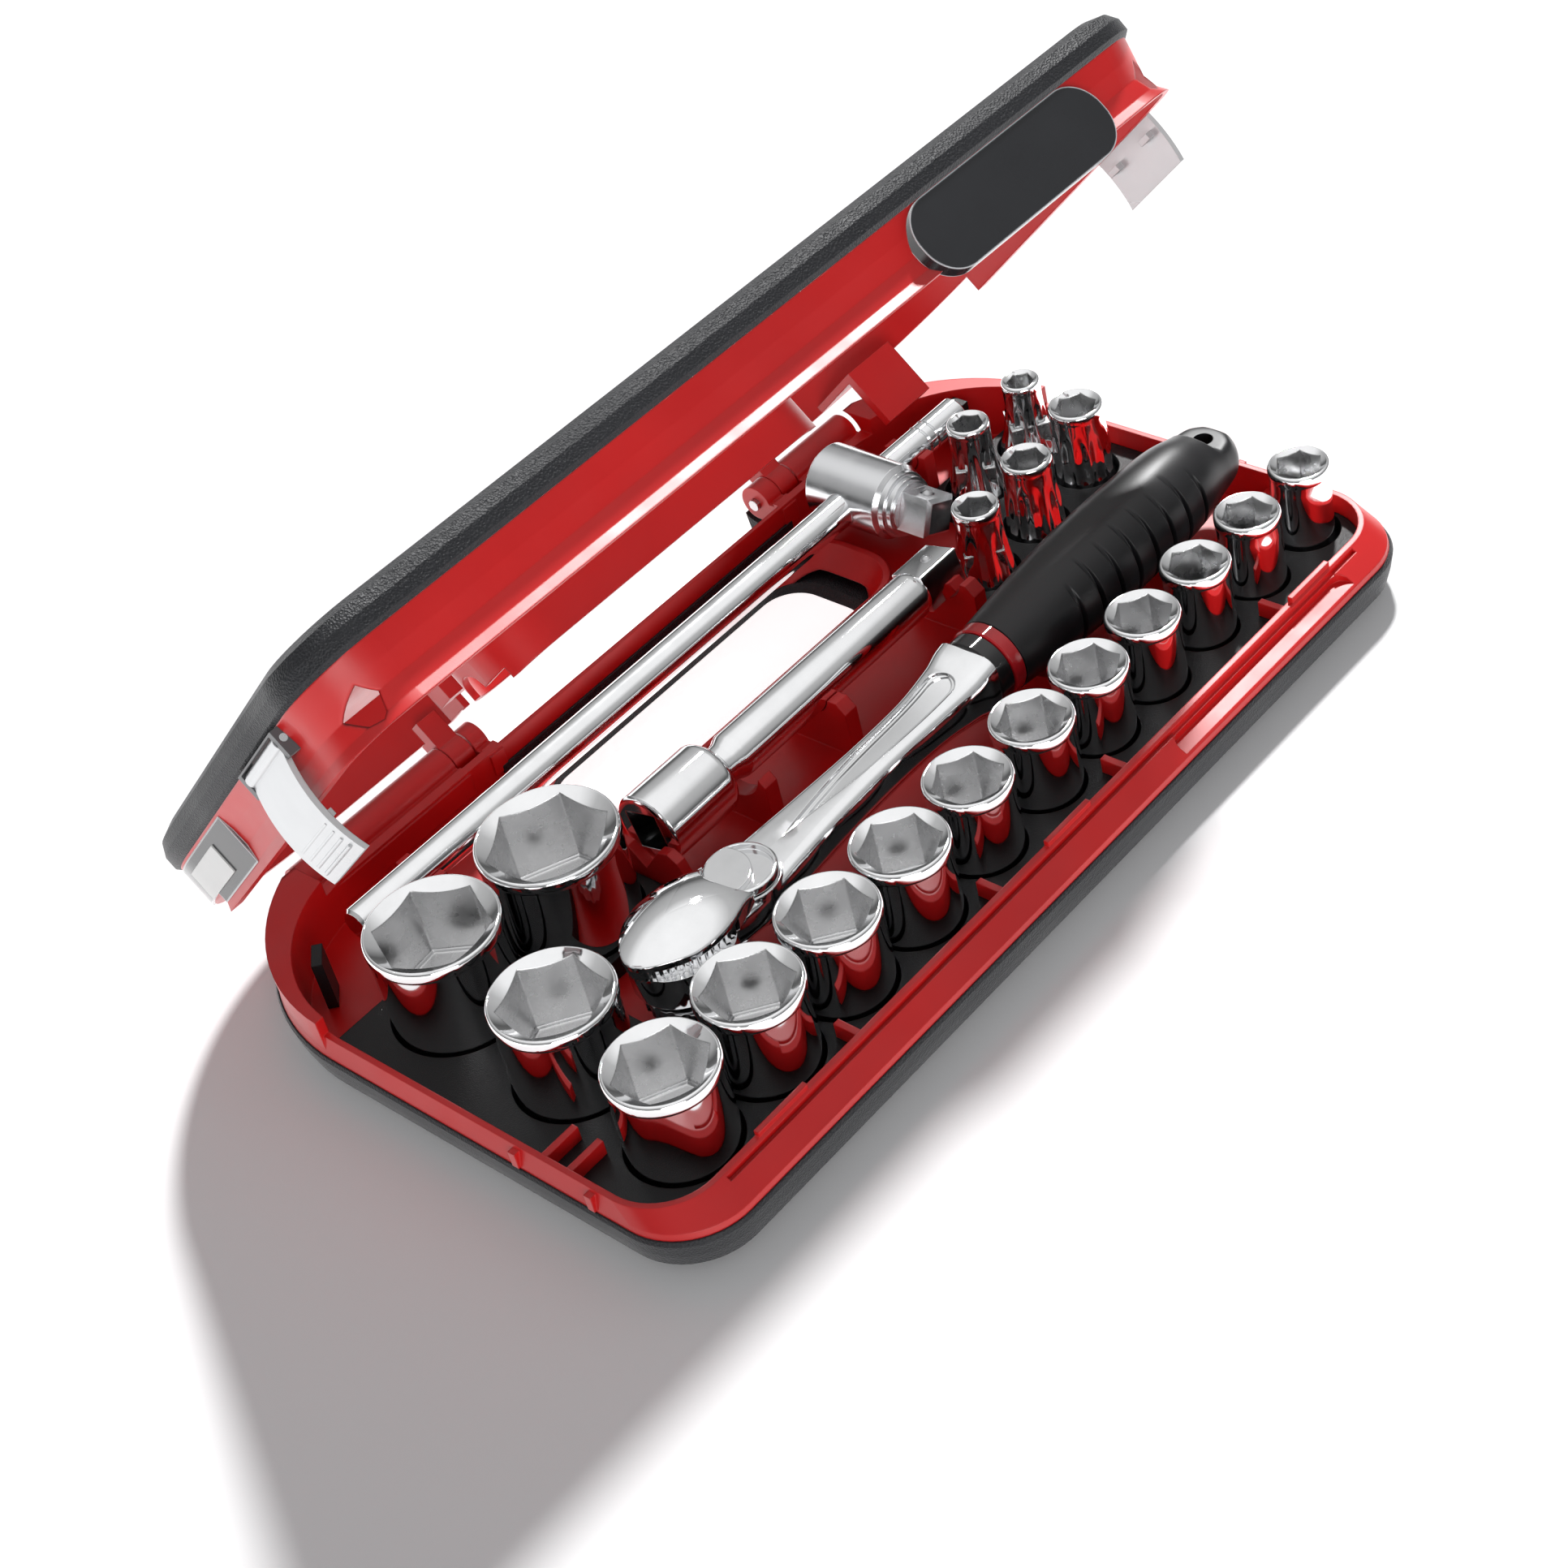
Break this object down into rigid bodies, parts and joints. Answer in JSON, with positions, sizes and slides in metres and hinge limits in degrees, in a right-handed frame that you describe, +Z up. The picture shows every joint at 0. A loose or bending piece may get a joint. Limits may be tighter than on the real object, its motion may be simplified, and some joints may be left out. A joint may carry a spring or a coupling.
{
  "type": "socket wrench set in case",
  "caption": "Hinged two-tone carrying case with a hand opening, holding a ratchet, an extension bar, a sliding T-handle and a row of hexagon sockets.",
  "frame": {"origin": "on the base's flat underside, half-way along the case, 3.5 mm in front of the middle of its depth", "axes": "+X to the right along the case's length, +Y to the hinge at the back, +Z up"},
  "size_m": [0.348, 0.2247, 0.1817],
  "materials": {
    "case_black": "fine leather grain",
    "case_red": "satin",
    "insert_black": "satin",
    "pin_steel": "satin",
    "label_black": "satin",
    "label_card": "matte",
    "latch_silver": "satin metallic",
    "latch_dark": "matte",
    "satin_chrome": "satin",
    "polished_chrome": "polished",
    "collar_black": "gloss",
    "ring_red": "gloss",
    "grip_rubber": "satin"
  },
  "bodies": {
    "case": {"base_shell": "case_black", "base_tray": "case_red", "socket_insert": "insert_black", "small_socket_insert": "insert_black", "hinge_pin_left": "pin_steel", "hinge_pin_right": "pin_steel", "corner_pad_left": "insert_black", "corner_pad_right": "insert_black"},
    "lid": {"lid_liner": "case_red", "lid_shell": "case_black", "lid_label_plate": "label_black", "side_label_pad": "label_black", "side_label_card": "label_card", "latch_lugs_left": "latch_dark", "latch_lugs_right": "latch_dark", "latch_pin_left": "pin_steel", "latch_pin_right": "pin_steel"},
    "latch_left": {"latch_left": "latch_silver"},
    "latch_right": {"latch_right": "latch_silver"},
    "ratchet": {"ratchet_handle": "polished_chrome", "ratchet_core": "pin_steel", "ratchet_collar": "collar_black", "ratchet_ring": "ring_red", "ratchet_grip": "grip_rubber"},
    "ratchet_drive": {"ratchet_drive": "satin_chrome", "ratchet_ball": "pin_steel"},
    "reversing_lever": {"reversing_lever": "polished_chrome"},
    "extension": {"extension_bar": "polished_chrome", "extension_ball": "pin_steel"},
    "t_bar": {"t_bar": "satin_chrome"},
    "t_head": {"t_head": "polished_chrome", "t_head_ball": "pin_steel"},
    "socket_08": {"socket_08": "polished_chrome"},
    "socket_09": {"socket_09": "polished_chrome"},
    "socket_10": {"socket_10": "polished_chrome"},
    "socket_11": {"socket_11": "polished_chrome"},
    "socket_12": {"socket_12": "polished_chrome"},
    "socket_13": {"socket_13": "polished_chrome"},
    "socket_14": {"socket_14": "polished_chrome"},
    "socket_15": {"socket_15": "polished_chrome"},
    "socket_16": {"socket_16": "polished_chrome"},
    "socket_17": {"socket_17": "polished_chrome"},
    "socket_18": {"socket_18": "polished_chrome"},
    "socket_19": {"socket_19": "polished_chrome"},
    "socket_21": {"socket_21": "polished_chrome"},
    "socket_22": {"socket_22": "polished_chrome"},
    "socket_23": {"socket_23": "polished_chrome"},
    "socket_24": {"socket_24": "polished_chrome"},
    "socket_27": {"socket_27": "polished_chrome"},
    "socket_30": {"socket_30": "polished_chrome"},
    "socket_32": {"socket_32": "polished_chrome"}
  },
  "joints": [
    {"name": "lid_hinge", "type": "hinge", "parent": "case", "child": "lid", "pos_m": [0, 0.0966, 0.019], "axis": [-1, 0, 0], "range_deg": [-46, 45]},
    {"name": "latch_left_hinge", "type": "hinge", "parent": "lid", "child": "latch_left", "pos_m": [-0.1691, 0.00719, 0.13923], "axis": [0, 0.6947, -0.7193], "range_deg": [0, 95]},
    {"name": "latch_right_hinge", "type": "hinge", "parent": "lid", "child": "latch_right", "pos_m": [0.1691, 0.00719, 0.13923], "axis": [0, -0.6947, 0.7193], "range_deg": [0, 95]},
    {"name": "ratchet_lift", "type": "slide", "parent": "case", "child": "ratchet", "axis": [0, 0, 1], "range_m": [0, 0.05]},
    {"name": "ratchet_turn", "type": "hinge", "parent": "ratchet", "child": "ratchet_drive", "pos_m": [-0.0935, -0.037, 0.02], "axis": [0, 0, 1], "continuous": true},
    {"name": "reversing_lever_turn", "type": "hinge", "parent": "ratchet", "child": "reversing_lever", "pos_m": [-0.06, -0.037, 0.038], "axis": [0, 0, 1], "range_deg": [-20, 20]},
    {"name": "extension_lift", "type": "slide", "parent": "case", "child": "extension", "axis": [0, 0, 1], "range_m": [0, 0.05]},
    {"name": "t_bar_lift", "type": "slide", "parent": "case", "child": "t_bar", "axis": [0, 0, 1], "range_m": [0, 0.028]},
    {"name": "t_head_slide", "type": "slide", "parent": "t_bar", "child": "t_head", "axis": [-1, 0, 0], "range_m": [0, 0.14]},
    {"name": "socket_08_lift", "type": "slide", "parent": "case", "child": "socket_08", "axis": [0, 0, 1], "range_m": [0, 0.04]},
    {"name": "socket_09_lift", "type": "slide", "parent": "case", "child": "socket_09", "axis": [0, 0, 1], "range_m": [0, 0.04]},
    {"name": "socket_10_lift", "type": "slide", "parent": "case", "child": "socket_10", "axis": [0, 0, 1], "range_m": [0, 0.04]},
    {"name": "socket_11_lift", "type": "slide", "parent": "case", "child": "socket_11", "axis": [0, 0, 1], "range_m": [0, 0.04]},
    {"name": "socket_12_lift", "type": "slide", "parent": "case", "child": "socket_12", "axis": [0, 0, 1], "range_m": [0, 0.04]},
    {"name": "socket_13_lift", "type": "slide", "parent": "case", "child": "socket_13", "axis": [0, 0, 1], "range_m": [0, 0.04]},
    {"name": "socket_14_lift", "type": "slide", "parent": "case", "child": "socket_14", "axis": [0, 0, 1], "range_m": [0, 0.04]},
    {"name": "socket_15_lift", "type": "slide", "parent": "case", "child": "socket_15", "axis": [0, 0, 1], "range_m": [0, 0.04]},
    {"name": "socket_16_lift", "type": "slide", "parent": "case", "child": "socket_16", "axis": [0, 0, 1], "range_m": [0, 0.04]},
    {"name": "socket_17_lift", "type": "slide", "parent": "case", "child": "socket_17", "axis": [0, 0, 1], "range_m": [0, 0.04]},
    {"name": "socket_18_lift", "type": "slide", "parent": "case", "child": "socket_18", "axis": [0, 0, 1], "range_m": [0, 0.04]},
    {"name": "socket_19_lift", "type": "slide", "parent": "case", "child": "socket_19", "axis": [0, 0, 1], "range_m": [0, 0.04]},
    {"name": "socket_21_lift", "type": "slide", "parent": "case", "child": "socket_21", "axis": [0, 0, 1], "range_m": [0, 0.04]},
    {"name": "socket_22_lift", "type": "slide", "parent": "case", "child": "socket_22", "axis": [0, 0, 1], "range_m": [0, 0.04]},
    {"name": "socket_23_lift", "type": "slide", "parent": "case", "child": "socket_23", "axis": [0, 0, 1], "range_m": [0, 0.04]},
    {"name": "socket_24_lift", "type": "slide", "parent": "case", "child": "socket_24", "axis": [0, 0, 1], "range_m": [0, 0.04]},
    {"name": "socket_27_lift", "type": "slide", "parent": "case", "child": "socket_27", "axis": [0, 0, 1], "range_m": [0, 0.04]},
    {"name": "socket_30_lift", "type": "slide", "parent": "case", "child": "socket_30", "axis": [0, 0, 1], "range_m": [0, 0.04]},
    {"name": "socket_32_lift", "type": "slide", "parent": "case", "child": "socket_32", "axis": [0, 0, 1], "range_m": [0, 0.04]}
  ]
}
